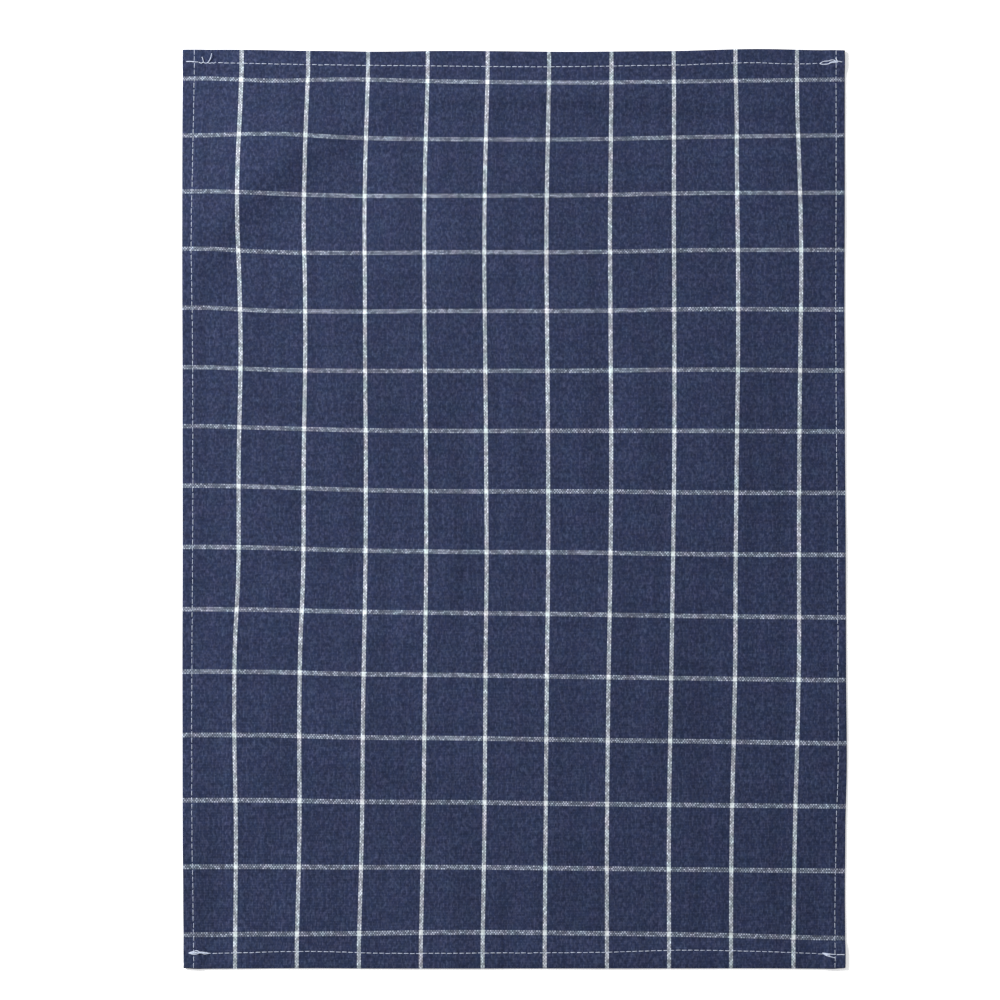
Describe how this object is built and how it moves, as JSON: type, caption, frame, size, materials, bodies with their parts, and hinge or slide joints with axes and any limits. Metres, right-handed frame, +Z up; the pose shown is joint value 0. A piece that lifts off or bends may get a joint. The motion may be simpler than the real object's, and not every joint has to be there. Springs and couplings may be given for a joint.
{
  "type": "tea towel",
  "caption": "Flat hemmed tea towel of navy plain-woven cotton with a white windowpane check, lying face up.",
  "frame": {"origin": "on the flat underside, under the middle of the towel", "axes": "+Z up out of the cloth's face, +Y along its length towards the end with the thread loop and tails, +X across its width"},
  "size_m": [0.5016, 0.6944, 0.003],
  "materials": {
    "check_cotton": "matt plain-woven cotton, navy with a white windowpane check"
  },
  "bodies": {
    "root": {"towel": "check_cotton"}
  },
  "joints": []
}
